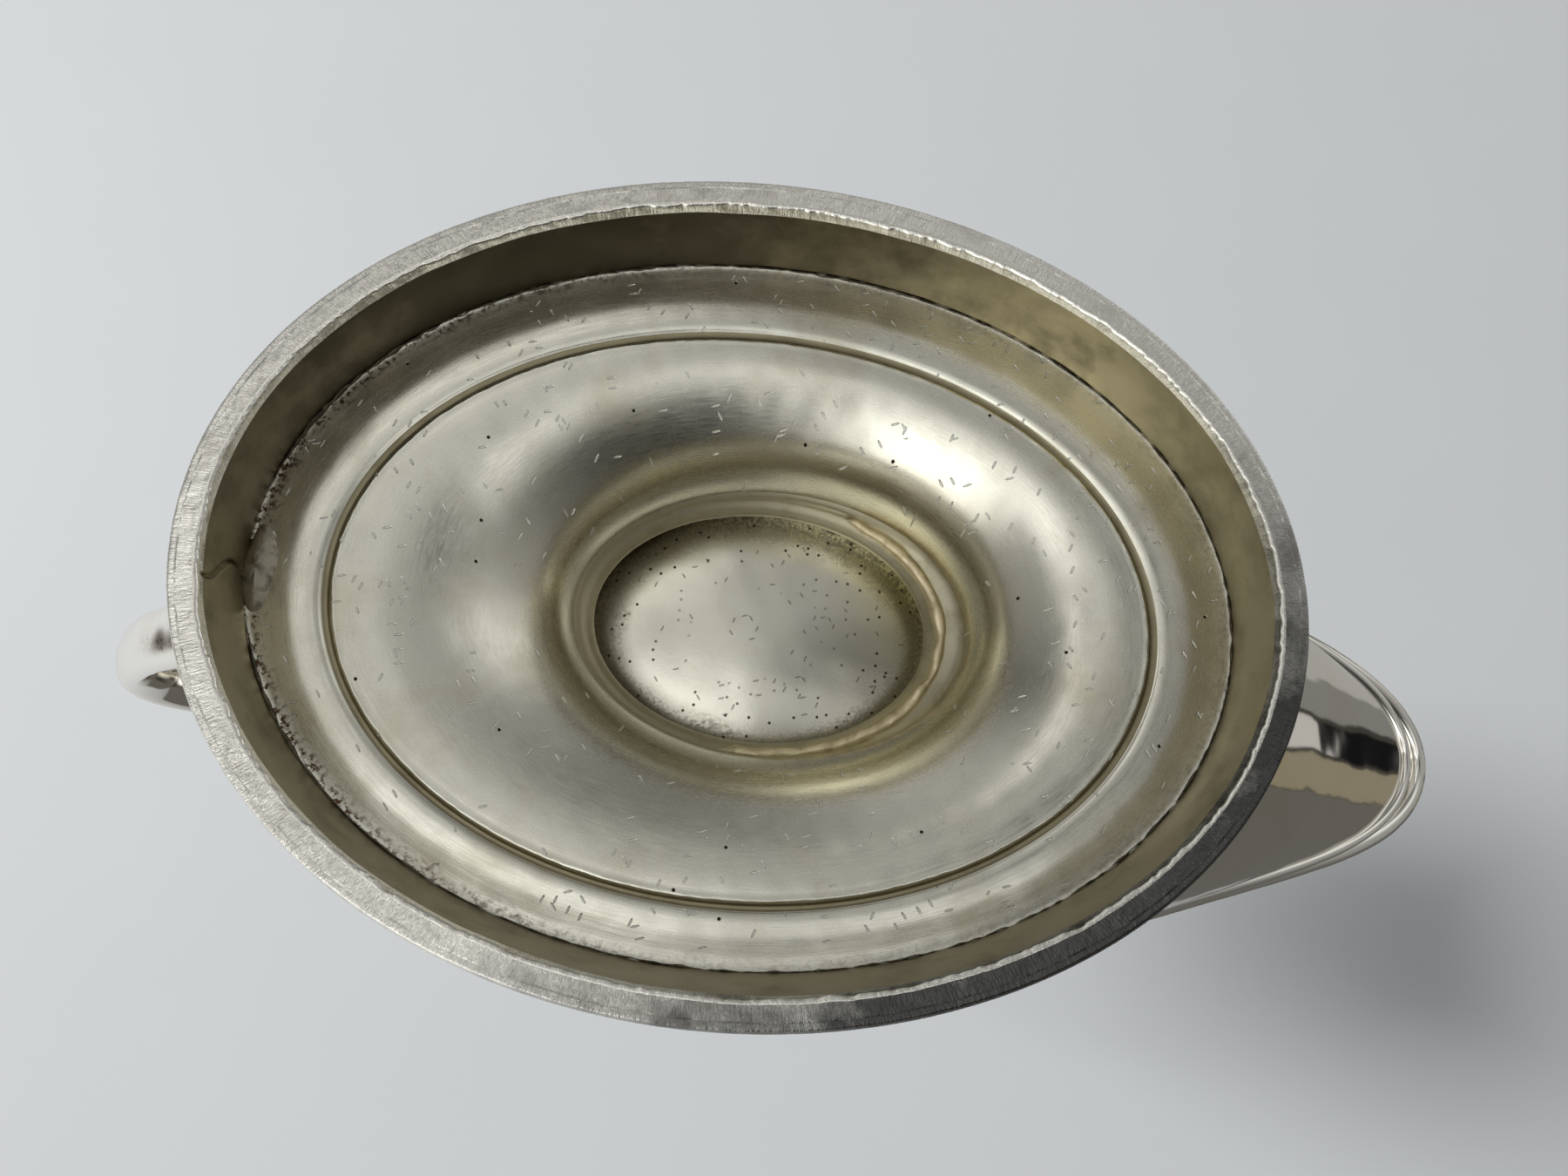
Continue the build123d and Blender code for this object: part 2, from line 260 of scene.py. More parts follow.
class Nodes:
    """Short calls for building a node tree."""

    def __init__(self, tree):
        self.tree = tree
        tree.nodes.clear()

    def join(self, socket, value):
        """Links a node's output to a socket, or sets the socket to a plain value."""
        if isinstance(value, bpy.types.NodeSocket):
            self.tree.links.new(value, socket)
        else:
            socket.default_value = value

    def add(self, kind, inputs=None, **settings):
        node = self.tree.nodes.new(kind)
        for key, value in settings.items():
            setattr(node, key, value)
        for key, value in (inputs or {}).items():
            self.join(node.inputs[key], value)
        return node

    def math(self, operation, one, two=0.0):
        return self.add("ShaderNodeMath", {0: one, 1: two}, operation=operation).outputs[0]

    def plus(self, one, two):
        return self.math("ADD", one, two)

    def times(self, one, two):
        return self.math("MULTIPLY", one, two)

    def most(self, one, two):
        return self.math("MAXIMUM", one, two)

    def minus(self, one, two):
        return self.math("SUBTRACT", one, two)

    def scaled(self, where, scale):
        return self.add("ShaderNodeVectorMath", {0: where, 1: scale}, operation="MULTIPLY").outputs[0]

    def towards(self, where, way):
        """How far a point lies along a direction."""
        inputs = {0: where, 1: way}
        return self.add("ShaderNodeVectorMath", inputs, operation="DOT_PRODUCT").outputs["Value"]

    def axes(self, where):
        return self.add("ShaderNodeSeparateXYZ", {0: where}).outputs

    def place(self):
        """The place on the object, in millimetres."""
        return self.scaled(self.add("ShaderNodeTexCoord").outputs["Object"], [1 / MM] * 3)

    def flow(self):
        """The place in the piece's own streak coordinates."""
        return self.add("ShaderNodeAttribute", attribute_name="flow").outputs["Vector"]

    def noise(self, where, size, detail=4, rough=0.6):
        inputs = {"Vector": where, "Scale": 1 / size, "Detail": detail, "Roughness": rough}
        return self.add("ShaderNodeTexNoise", inputs).outputs["Fac"]

    def ramp(self, value, low, high, to_low=0.0, to_high=1.0):
        inputs = {"Value": value, "From Min": low, "From Max": high, "To Min": to_low, "To Max": to_high}
        return self.add("ShaderNodeMapRange", inputs).outputs["Result"]

    def mix(self, share, one, two):
        """A colour between two others, which are node outputs or plain (red, green, blue)."""
        node = self.add("ShaderNodeMix", data_type="RGBA")
        # the colour sockets come after those for numbers and vectors, which have the same names
        factor, first, second = node.inputs[0], node.inputs[6], node.inputs[7]
        self.join(factor, share)
        for socket, colour in ((first, one), (second, two)):
            self.join(socket, (*colour, 1) if isinstance(colour, tuple) else colour)
        return node.outputs[2]

    def cells(self, where, sparse):
        """Distance from the nearest random point in plan, and 1 in the given small share of the cells."""
        node = self.add("ShaderNodeTexVoronoi", {"Vector": where, "Scale": 1.0}, voronoi_dimensions="2D")
        lot = self.axes(node.outputs["Color"])[0]
        return node.outputs["Distance"], self.math("LESS_THAN", lot, sparse)

    def nicks(self, where, length, width, sparse):
        """Short straight nicks that lie at NICK_TURNS in plan: 1 inside a nick and 0 outside."""
        total = 0.0
        for turn in NICK_TURNS:
            inputs = {"Vector": where, "Angle": turn}
            turned = self.add("ShaderNodeVectorRotate", inputs, rotation_type="Z_AXIS").outputs[0]
            cell = self.scaled(turned, (2 * NICK_EDGE / length, 2 * NICK_EDGE / width, 1))
            distance, chosen = self.cells(cell, sparse)
            total = self.most(total, self.times(self.ramp(distance, 0.05, NICK_EDGE, 1.0, 0.0), chosen))
        return total

    def pinholes(self, where, spacing, radius, sparse):
        """Small round holes: 1 inside a hole and 0 outside."""
        distance, chosen = self.cells(self.scaled(where, [1 / spacing] * 3), sparse)
        return self.times(self.ramp(distance, 0.7 * radius / spacing, radius / spacing, 1.0, 0.0), chosen)

    def oval(self, where, middle, a, b):
        """How far out a point is, as a share of an oval with half axes a and b, and its share along X."""
        x, y, _z = self.axes(where)
        along = self.math("DIVIDE", self.minus(x, middle), a)
        across = self.math("DIVIDE", y, b)
        square = self.plus(self.math("POWER", along, 2.0), self.math("POWER", across, 2.0))
        return self.math("SQRT", square), along

    def bump(self, height, strength, distance, under=None):
        inputs = {"Height": height, "Strength": strength, "Distance": distance * MM}
        if under is not None:
            inputs["Normal"] = under
        return self.add("ShaderNodeBump", inputs).outputs["Normal"]

    def metal(self, colour, rough, normal):
        """Ends the tree in a metal."""
        inputs = {"Base Color": colour, "Metallic": 1.0, "Roughness": rough, "Normal": normal}
        shader = self.add("ShaderNodeBsdfPrincipled", inputs)
        self.add("ShaderNodeOutputMaterial", {"Surface": shader.outputs[0]})


def new_material(name):
    material = bpy.data.materials.new(name)
    material.use_nodes = True
    return material, Nodes(material.node_tree)


def add_neck_painted_shade_and_crust(n, here, cloud, colour, dirt):
    """Painted shade and tarnish that darken the colour towards the neck, and a crust along the seam, thickest
    at the handle's end.
    """
    off, _along = n.oval(here, NECK_X, THROAT_A, THROAT_B)
    # painted shade and tarnish: the given darker colour grows towards the neck
    near = n.ramp(n.plus(off, n.times(cloud, 0.25)), 1.12, 1.5, 1.0, 0.0)
    off, along = n.oval(here, 0.0, SEAM_A, SEAM_B)
    reach = n.plus(off, n.times(n.noise(here, 2.0), 0.05))
    crust = n.times(n.ramp(reach, 0.985, 1.01), n.ramp(along, -0.1, -0.75, 0.25, 1.0))
    crust = n.times(crust, n.ramp(n.noise(here, 0.45, 4, 0.7), 0.49, 0.58))
    return n.mix(crust, n.mix(near, colour, dirt), (0.10, 0.055, 0.03))


def add_one_sided_shade(n, here, cloud, colour, dark, side):
    """Painted shade: a dark colour over one side of the foot; side points to it, as a direction along X and
    Y.
    """
    towards = n.towards(here, (side[0] / FOOT_A, side[1] / FOOT_B, 0))
    dull = n.plus(towards, n.times(n.minus(cloud, 0.5), 0.7))
    return n.mix(n.ramp(dull, 0.3, 0.85, 0.0, 0.95), colour, dark)


def add_wear(n, here, colour, rough, normal):
    """Bright nicks, which come in patches, and dark pinholes."""
    often = n.ramp(n.noise(here, 12.0, 2), 0.35, 0.7, 0.08, 0.5)
    nicks = n.nicks(here, 0.8, 0.2, often)
    holes = n.pinholes(here, 4.0, 0.16, 0.09)
    marks = n.most(nicks, holes)
    colour = n.mix(n.times(nicks, 0.7), colour, (1, 0.99, 0.96))
    colour = n.mix(holes, colour, (0.03, 0.025, 0.02))
    return colour, n.plus(rough, n.times(marks, 0.3)), n.bump(n.minus(1.0, marks), 0.9, 0.05, normal)


def metal(name, clean, stained, stain_size, stain_share, gloss, grain, depth,
          streaks=False, worn=False, neck_tarnish_and_painted_shade=None, painted_dark_side=None):
    """Silver or solder with soft stains, a roughness between the two gloss values, and a fine grain.

    The grain has as many marks in a millimetre as grain says, along X, Y and Z, or along the piece's
    streak coordinates if streaks is true. The colour for the neck is painted shade and tarnish that grow
    towards it, and the colour with a direction is painted shade over one side.
    """
    material, n = new_material(name)
    here = n.place()
    cloud = n.noise(here, stain_size, 5, 0.62)
    colour = n.mix(n.ramp(cloud, stain_share, stain_share + 0.22), clean, stained)
    # painted shade and tarnish towards the neck, with the seam's crust
    if neck_tarnish_and_painted_shade is not None:
        colour = add_neck_painted_shade_and_crust(n, here, cloud, colour, neck_tarnish_and_painted_shade)
    # painted shade over one side of the foot
    if painted_dark_side is not None:
        colour = add_one_sided_shade(n, here, cloud, colour, *painted_dark_side)
    marks = n.noise(n.scaled(n.flow() if streaks else here, grain), 1.0, 3, 0.7)
    rough = n.plus(n.ramp(cloud, 0.3, 0.75, *gloss), n.ramp(marks, 0.3, 0.8, -0.05, 0.07))
    normal = n.bump(marks, 0.5, depth)
    normal = n.bump(n.noise(here, 2.2, 2, 0.5), 0.5, depth * 2, normal)
    if worn:
        colour, rough, normal = add_wear(n, here, colour, rough, normal)
    n.metal(colour, rough, normal)
    return material


def neck_bottom(n, here, off, along, cloud, grit):
    """The colour of the bowl's underside inside the neck, and where a crust and cuts lie on it.

    It has a crust round its edge, painted shade near its edge on the handle's side, grey painted shade on
    the spout's side towards +Y, dark specks, and stains towards the spout.
    """
    crust = n.ramp(n.plus(n.times(cloud, 0.4), off), 1.02, 1.25)
    crust = n.times(crust, n.ramp(grit, 0.45, 0.6))
    # painted shade near the edge, on the handle's side
    shade = n.times(n.ramp(off, 0.78, 1.05), n.ramp(along, 0.3, -0.7))
    specks = n.times(n.pinholes(here, 1.1, 0.17, 0.25), n.ramp(off, 0.3, 0.75))
    # painted shade: greyer and darker on the spout's side, towards +Y
    side = n.times(n.ramp(along, -0.12, 0.3), n.times(n.ramp(n.axes(here)[1], -6.0, 4.0), 0.75))
    cuts = n.nicks(here, 0.6, 0.16, 0.16)
    colour = n.mix(n.ramp(cloud, 0.45, 0.75), (0.90, 0.885, 0.77), (0.85, 0.83, 0.70))
    colour = n.mix(n.times(n.ramp(along, 0.35, 0.85), 0.85), colour, (0.50, 0.45, 0.22))
    colour = n.mix(side, colour, (0.45, 0.44, 0.38))
    colour = n.mix(shade, colour, (0.10, 0.085, 0.05))
    colour = n.mix(n.most(n.times(crust, 0.6), specks), colour, (0.07, 0.055, 0.035))
    return n.mix(n.times(cuts, 0.45), colour, (0.35, 0.33, 0.25)), crust, cuts


def bowl_metal():
    """Polished outside and in, but left rough and dirty, with painted shade, where the neck hides it."""
    material, n = new_material("silver_bowl")
    here = n.place()
    off, along = n.oval(here, NECK_X - LIP_SHIFT, LIP_A - LIP_SHIFT, LIP_B)
    hidden = n.times(n.ramp(off, 1.25, 1.1), n.ramp(n.axes(here)[2], 34.0, 33.0))
    grit = n.noise(here, 0.35, 3, 0.7)
    satin, crust, cuts = neck_bottom(n, here, off, along, n.noise(here, 3.0, 5, 0.65), grit)
    shine = n.mix(n.ramp(n.noise(here, 18.0), 0.5, 0.8), (0.93, 0.905, 0.84), (0.86, 0.82, 0.72))
    rough = n.plus(n.ramp(hidden, 0, 1, 0.07, 0.27), n.times(crust, n.times(hidden, 0.3)))
    normal = n.bump(grit, n.ramp(hidden, 0, 1, 0.02, 0.25), 0.03)
    normal = n.bump(n.minus(1.0, cuts), n.times(hidden, 0.9), 0.09, normal)
    n.metal(n.mix(hidden, shine, satin), rough, normal)
    return material


BOWL = bowl_metal()
POLISHED = metal(
    "silver_polished", clean=(0.93, 0.905, 0.84), stained=(0.84, 0.79, 0.68), stain_size=18.0,
    stain_share=0.55, gloss=(0.05, 0.14), grain=(2, 2, 2), depth=0.002,
)
# Its colour darkens towards the neck with painted shade and tarnish.
SATIN = metal(
    "silver_satin", clean=(0.87, 0.855, 0.745), stained=(0.72, 0.685, 0.55), stain_size=9.0,
    stain_share=0.5, gloss=(0.23, 0.32), grain=(0.3, 0.3, 6), depth=0.008, streaks=True,
    worn=True, neck_tarnish_and_painted_shade=(0.66, 0.62, 0.49),
)
GROOVE = metal(
    "silver_groove", clean=(0.36, 0.32, 0.21), stained=(0.25, 0.21, 0.13), stain_size=5.0,
    stain_share=0.5, gloss=(0.36, 0.46), grain=(0.3, 0.3, 6), depth=0.008, streaks=True,
)
# The filed face has a painted dark reflection over the spout's side, towards +Y.
FILED = metal(
    "silver_filed", clean=(0.97, 0.95, 0.88), stained=(0.62, 0.59, 0.52), stain_size=5.0,
    stain_share=0.58, gloss=(0.2, 0.34), grain=(5.0, 5.0, 1.0), depth=0.22, streaks=True,
    painted_dark_side=((0.045, 0.045, 0.045), (0.72, 0.69)),
)
BURR = metal(
    "silver_burr", clean=(0.98, 0.96, 0.88), stained=(0.9, 0.87, 0.78), stain_size=3.0,
    stain_share=0.6, gloss=(0.16, 0.24), grain=(3, 3, 3), depth=0.06,
)
# The wall's olive tone is its own tarnish; over the handle's side, towards -Y, it has painted shade.
WALL_INSIDE = metal(
    "silver_tarnished", clean=(0.35, 0.305, 0.19), stained=(0.25, 0.215, 0.13), stain_size=6.0,
    stain_share=0.5, gloss=(0.36, 0.48), grain=(4, 4, 4), depth=0.012,
    painted_dark_side=((0.10, 0.083, 0.048), (-0.45, -0.89)),
)
THROAT = metal(
    "silver_throat", clean=(0.58, 0.54, 0.40), stained=(0.40, 0.36, 0.23), stain_size=4.0,
    stain_share=0.52, gloss=(0.40, 0.50), grain=(3, 3, 3), depth=0.015,
)
GOLDEN = metal(
    "solder_golden", clean=(0.82, 0.72, 0.48), stained=(0.56, 0.47, 0.29), stain_size=1.2,
    stain_share=0.5, gloss=(0.42, 0.55), grain=(5, 5, 5), depth=0.03,
)
GREY_SOLDER = metal(
    "solder_grey", clean=(0.46, 0.43, 0.34), stained=(0.16, 0.145, 0.11), stain_size=1.0,
    stain_share=0.5, gloss=(0.45, 0.6), grain=(3, 3, 3), depth=0.12,
)
DIRT = metal(
    "seam_dirt", clean=(0.16, 0.14, 0.1), stained=(0.05, 0.045, 0.035), stain_size=0.8,
    stain_share=0.45, gloss=(0.5, 0.7), grain=(6, 6, 6), depth=0.04,
)


# ---------------------------------------------------------------- the foot
# The dome's ring moulding, as (share of the way in from the seam to the plate, height): the hollow ring
# of its underside, the small step inside that, the groove round the plate, and its upper side.
RING_STEPS = [
    (0.0, SEAM_Z), (0.05, 8.84), (0.12, 8.86), (0.22, 8.85), (0.35, 8.78), (0.5, 8.68), (0.62, 8.64)
]
INNER_STEPS = [(0.62, 8.64), (0.72, 8.63), (0.79, 8.66), (0.84, 8.74), (0.865, 8.82)]
GROOVE_STEPS = [
    (0.88, 8.86), (0.905, 8.93), (0.94, 8.95), (0.97, 8.86), (0.985, 8.62), (0.995, 8.42), (1.01, 8.34)
]
UPPER_STEPS = [
    (1.0, 9.6), (0.88, 9.72), (0.75, 10.0), (0.48, 10.85), (0.22, 11.1), (0.0, 10.5), (-0.15, 9.75)
]
OUTER_EDGE = -0.19  # the dome's edge, as such a share, a little outside the seam
GROOVE_SPAN = 6  # rows from one point of the groove to the next


def build_dome():
    """The foot's sheet: its underside from the edge to the throat, and its upper side back again."""
    under = [
        straight(moulding([(OUTER_EDGE, SEAM_Z), (0.0, SEAM_Z)]))[:-1],
        curve(moulding(RING_STEPS), 10)[:-1],
        curve(moulding(INNER_STEPS)),
        curve(moulding(GROOVE_STEPS), GROOVE_SPAN),
        straight([moulding([(1.03, 8.27)])[0], trumpet(0, PLATE_EDGE, 2)[0]], 4)[:-1],
        trumpet(0, PLATE_EDGE, 90),
    ]
    over = [
        trumpet(SHEET, 0, 60)[::-1],
        curve(moulding(UPPER_STEPS), 10),
        straight(moulding([(-0.18, 9.67), (OUTER_EDGE, SEAM_Z)]), 4)[:-1],
    ]
    profile = np.vstack(under + over)
    points, turn = oval_grid(profile, 1080)
    plate_share = np.interp(profile[:, 0], [THROAT_A, PLATE_A, SEAM_A], [0, 1, 0])
    points[..., 1] += PLATE_Y * plate_share[:, None]
    points[..., 2] += 0.022 * ripple(points, 10.0, 3) + 0.006 * ripple(points, 3.0, 4)

    # a fine burr on the groove's inner bank
    groove = sum(len(run) for run in under[:3])
    burr = slice(groove + 4 * GROOVE_SPAN, groove + 6 * GROOVE_SPAN + 2)
    points[burr, :, 2] += 0.02 * ragged(turn, 300, 5) + 0.02 * ragged(turn, 110, 6)
    inward = points[burr, :, :2] - (PLATE_X, 0)
    points[burr, :, :2] -= inward * (0.0008 * ragged(turn, 220, 8))[:, None]

    satin, polished, dark = range(3)
    zones = np.full(len(profile), satin)
    zones[groove : groove + 5 * GROOVE_SPAN + 2] = dark
    zones[sum(len(run) for run in under) :] = polished
    grid_piece(
        "foot_dome_sheet", points, [SATIN, POLISHED, GROOVE], "foot_dome",
        close_rows=True, row_zones=zones,
    )


def tear_corner(points, turn, off):
    """The ragged burr between the band's inner wall and its filed face; off is a row's distance from it."""
    rag = 0.07 * ragged(turn, 620, 11) + 0.08 * ragged(turn, 170, 12) + 0.06 * ragged(turn, 50, 13)
    push_out(points, -np.exp(-((off / 0.45) ** 2))[:, None] * rag, turn)


def file_face(face, turn, along):
    """Low waves and file marks, which fade out at the face's inner edge."""
    fade = np.clip((along - along[0]) / 0.9, 0, 1)[:, None]
    face[..., 2] += 0.010 * fade * ripple(face, 3.0, 14)
    face[..., 2] += fade * (0.010 * ragged(turn, 700, 17) + 0.008 * ragged(turn, 230, 18))


def split_wall(wall, turn):
    """Soft waves over the inner wall, and the open joint of the band's two ends near the handle."""
    push_out(wall, 0.03 * ripple(wall, 7, 16), turn)
    joint_turn = np.radians(175.0 + 2.0 * np.sin(np.linspace(0, 5, len(wall))))[:, None]
    push_out(wall, 0.5 * np.clip(1 - (np.abs(turn - joint_turn) / radians(0.35)) ** 2, 0, 1), turn)


def build_band():
    """The heavy upright strip that the dome is soldered to."""
    face_a, face_b = FOOT_A - FACE_WIDTH, FOOT_B - FACE_WIDTH
    out_a, out_b = FOOT_A - REED_OUT, FOOT_B - REED_OUT
    seam, top_edge = oval_rows(SEAM_A, SEAM_B, [(0, SEAM_Z), (BAND_TOP, SEAM_Z)])
    corner_rows = oval_rows(face_a, face_b, [(-0.02, 0.35), (0.02, 0.12), (0.09, 0.055), (0.27, 0.0)])
    joint_rows = oval_rows(out_a, out_b, [(-0.05, 0.0), (-0.012, 0.0), (-0.004, 0.02), (-0.002, 0.3)])
    runs = [
        straight([seam, corner_rows[0]], 24),
        straight(corner_rows, 3)[1:],
        straight([corner_rows[-1], joint_rows[0]], 12)[1:],
        curve(joint_rows, 4)[1:],
        straight([joint_rows[-1], top_edge], 20)[1:],
        straight([top_edge, seam], 5)[1:-1],
    ]
    corner_at, face_at, joint_at, side_at = np.cumsum([len(run) for run in runs])[:4]
    profile = np.vstack(runs)
    points, turn = oval_grid(profile, 1800)
    along = distance_along(profile[:, [0, 3]])
    tear_corner(points, turn, along - along[corner_at + 1])
    file_face(points[face_at + 2 : joint_at], turn, along[face_at + 2 : joint_at])
    split_wall(points[: corner_at - 2], turn)

    filed, wall, outside, burr = range(4)
    zones = np.full(len(profile), filed)
    zones[: corner_at - 3] = wall
    zones[corner_at + 2 : face_at] = burr
    zones[side_at - 1 :] = outside
    grid_piece(
        "foot_upright_band", points, [FILED, WALL_INSIDE, POLISHED, BURR], "foot_wall_band",
        close_rows=True, row_zones=zones,
    )


def build_reed():
    """The wire round the band, filed flat with it."""
    out_a, out_b = FOOT_A - REED_OUT, FOOT_B - REED_OUT
    ground = curve(
        oval_rows(out_a, out_b, [(0.002, 0.3), (0.004, 0.02), (0.012, 0.0), (0.05, 0.0)])
        + oval_rows(FOOT_A, FOOT_B, [(-0.15, 0.0), (-0.02, 0.05)]),
        6,
    )
    bulge = curve(
        oval_rows(FOOT_A, FOOT_B, [(-0.02, 0.05), (0.24, 0.6), (REED_BULGE, 1.45), (0.2, 2.3)])
        + oval_rows(out_a, out_b, [(0.05, REED_HEIGHT)])
    )[1:]
    lean = (SEAM_A + BAND_TOP - out_a) / SEAM_Z
    inner = straight(
        [
            (out_a + lean * 2.8, out_b + lean * 2.8, 0, 2.8),
            (out_a + 0.002 + lean * 0.4, out_b + 0.002, 0, 0.4),
        ],
        5,
    )
    points, turn = oval_grid(np.vstack([ground, bulge, inner]), 1440)
    points[..., 2] += 0.01 * (1 + ripple(points, 2.5, 15))
    grid_piece("foot_ground_wire", points, [FILED], "foot_base_reed", close_rows=True)


# The neck's ring, as (distance outside an oval, height).
THROAT_STEPS = [(0.3, THROAT_Z), (-0.35, 20.2)]
LIP_STEPS = [(1.3, 20.9), (0.55, 21.6), (0.0, LIP_Z), (0.3, 23.1), (0.9, 24.2), (1.5, COLLAR_TOP_Z)]
KNOP_STEPS = [
    (2.0, COLLAR_TOP_Z), (1.2, 26.2), (0.8, 24.3), (1.1, 23.0), (2.0, 21.8), (2.0, 20.7), (1.2, THROAT_Z)
]


def build_collar():
    """The neck: a lip that narrows inside, and a knop outside."""
    inside = curve(
        oval_rows(THROAT_A, THROAT_B, THROAT_STEPS, NECK_X)
        + oval_rows(LIP_A - LIP_SHIFT, LIP_B, LIP_STEPS, NECK_X - LIP_SHIFT),
        10,
    )
    outside = curve(oval_rows(THROAT_A, THROAT_B, KNOP_STEPS, NECK_X), 10)
    points, _turn = oval_grid(np.vstack([inside, outside]), 720)
    points += 0.02 * ripple(points, 4, 21)[..., None]
    grid_piece("neck_knop", points, [THROAT], "neck_collar", close_rows=True)


build_dome()
build_band()
build_reed()
build_collar()


# ---------------------------------------------------------------- the bowl
# The rounding of the wall's top, as (share of the way in through the wall, height above it).
RIM_ROUNDING = ((0.12, 0.1), (0.35, 0.22), (0.65, 0.22), (0.88, 0.1))


def build_bowl():
    """The bowl's wall, hammered a little uneven: its outside, its rounded top and its inside."""
    cols, rows = 540, 130
    turn = np.linspace(0, 2 * pi, cols, endpoint=False)
    u = rim_share(turn) * np.linspace(0.012, 1, rows)[:, None] ** 2
    x, y = bowl_point(u, turn)
    outer = np.stack([x, y, KEEL_Z + BOWL_HEIGHT * u], -1)
    du = np.gradient(outer, axis=0)
    dt = np.gradient(np.concatenate([outer[:, -1:], outer, outer[:, :1]], 1), axis=1)[:, 1:-1]
    normal = np.cross(dt, du)
    normal /= np.linalg.norm(normal, axis=-1, keepdims=True)
    dents = 0.05 * ripple(outer, 16, 31) + 0.014 * ripple(outer, 5, 32)
    skin = outer + normal * dents[..., None]
    inside = outer - normal * (WALL - dents[..., None])
    inside[-1] = outer[-1] - normal[-1] * WALL
    rim = [skin[-1] + (inside[-1] - skin[-1]) * share + (0, 0, rise) for share, rise in RIM_ROUNDING]
    points = np.concatenate([skin, np.array(rim), inside[::-1]])
    grid_piece("bowl_wall", points, [BOWL], "body_bowl")


def build_rim_wire(name, radius, drop, seed, node):
    """A wire round the bowl, whose middle lies drop below the rim line."""
    turn = np.linspace(0, 2 * pi, 720, endpoint=False)
    middle = rim_points(turn, drop)
    along = np.roll(middle, -1, 0) - np.roll(middle, 1, 0)
    along /= np.linalg.norm(along, axis=1, keepdims=True)
    up = rim_points(turn, drop - 0.5) - rim_points(turn, drop + 0.5)
    out = np.cross(along, up)
    out /= np.linalg.norm(out, axis=1, keepdims=True)
    up = np.cross(out, along)
    wobble = 1 + 0.02 * ripple(middle, 6, seed)
    ring = np.linspace(0, 2 * pi, 20, endpoint=False)
    points = np.stack([middle + radius * wobble[:, None] * (out * cos(p) + up * sin(p)) for p in ring])
    grid_piece(name, points, [POLISHED], node, close_rows=True)


build_bowl()
build_rim_wire("rim_wire_bold", OUTER_REED, OUTER_REED, 41, "rim_outer_reed")
build_rim_wire("rim_wire_fine", INNER_REED, 2 * OUTER_REED + INNER_REED, 42, "rim_inner_reed")


# ---------------------------------------------------------------- the handle
def build_handle():
    """The loop: an oval bar, widest under the thumb and flared at both ends."""
    line = curve([(x, 0, z) for x, z in HANDLE_ROUTE], 24)
    length = distance_along(line)
    share = length / length[-1]
    along = np.gradient(line, axis=0)
    along /= np.linalg.norm(along, axis=1, keepdims=True)
    side = np.array([0.0, 1.0, 0.0])
    across = np.cross(along, side)
    width = HANDLE_WIDTH + (HANDLE_TOP_WIDTH - HANDLE_WIDTH) * np.sin(pi * share**THUMB_POWER) ** 2
    flare = 1.6 * np.exp(-((length - 3) / 7) ** 2) + 1.2 * np.exp(-((length[-1] - length - 1) / 5) ** 2)
    half_width = (width / 2 + flare)[:, None, None]
    half_thickness = (HANDLE_THICKNESS / 2 + 0.6 * flare)[:, None, None]
    ring = np.linspace(0, 2 * pi, 64, endpoint=False)[:, None]
    sideways = half_width * np.cos(ring) * side
    outwards = half_thickness * np.sin(ring) * across[:, None]
    points = line[:, None] + sideways + outwards
    points += 0.03 * ripple(points, 9, 51)[..., None] * (0.3, 1, 0.3)
    grid_piece("handle_scroll", points, [POLISHED], "handle_loop")


def build_pad():
    """The low oval cushion under the handle's lower end, which follows the bowl's rear wall."""
    turn = np.linspace(0, 2 * pi, 96, endpoint=False)
    rows = 14
    rings = []
    for k in range(rows):
        s = sin(pi / 2 * k / (rows - 1)) * 0.98 + 0.02
        y = PAD_HALF_WIDTH * s * np.cos(turn)
        z = PAD_Z + PAD_HALF_HEIGHT * s * np.sin(turn)
        u = (z - KEEL_Z) / BOWL_HEIGHT
        swing = y / (BOWL_HALF_WIDTH * belly(u, WIDTH_POWER))
        height = PAD_CROWN * sqrt(max(1 - s**2, 0)) - 0.15 * (k == rows - 1)
        reach = BOWL_REACH * belly(u, LENGTH_POWER) + height
        rings.append(np.stack([NECK_X - reach * np.sqrt(1 - swing**2), y, z], -1))
    grid_piece("handle_foot_plate", np.array(rings)[::-1], [POLISHED], "handle_lower_pad")


build_handle()
build_pad()


# ---------------------------------------------------------------- solder
def build_bead(name, material, node, oval, z, arc, radius, rough, wave, seed, swell=0.0):
    """An uneven bead of solder along part of an oval, swollen at the handle's end by swell.

    oval is (half length, half width, place along X) and arc is (first turn, sweep) in degrees.
    """
    a, b, x = oval
    start, sweep = arc
    count = int(sweep * 3)
    turn = np.radians(np.linspace(start, start + sweep, count))
    middle = np.stack([x + a * np.cos(turn), b * np.sin(turn), np.full(count, z)], -1)
    out = np.stack([np.cos(turn), np.sin(turn), 0 * turn], -1)
    up = np.array([0.0, 0.0, 1.0])
    size = radius * (1 + swell * bump(turn, 180, 55)) * (1 + rough * ripple(middle, wave, seed))
    size = np.clip(size, 0.2 * radius, 3 * radius) * np.clip(np.sin(np.linspace(0, pi, count)) * 9, 0.1, 1)
    ring = np.linspace(0, 2 * pi, 12, endpoint=False)[:, None]
    points = middle[:, None] + size[:, None, None] * (out[:, None] * np.cos(ring) + up * np.sin(ring))
    points += rough * radius * ripple(points, 0.6 * wave, seed + 2)[..., None]
    grid_piece(name, points, [material], node)


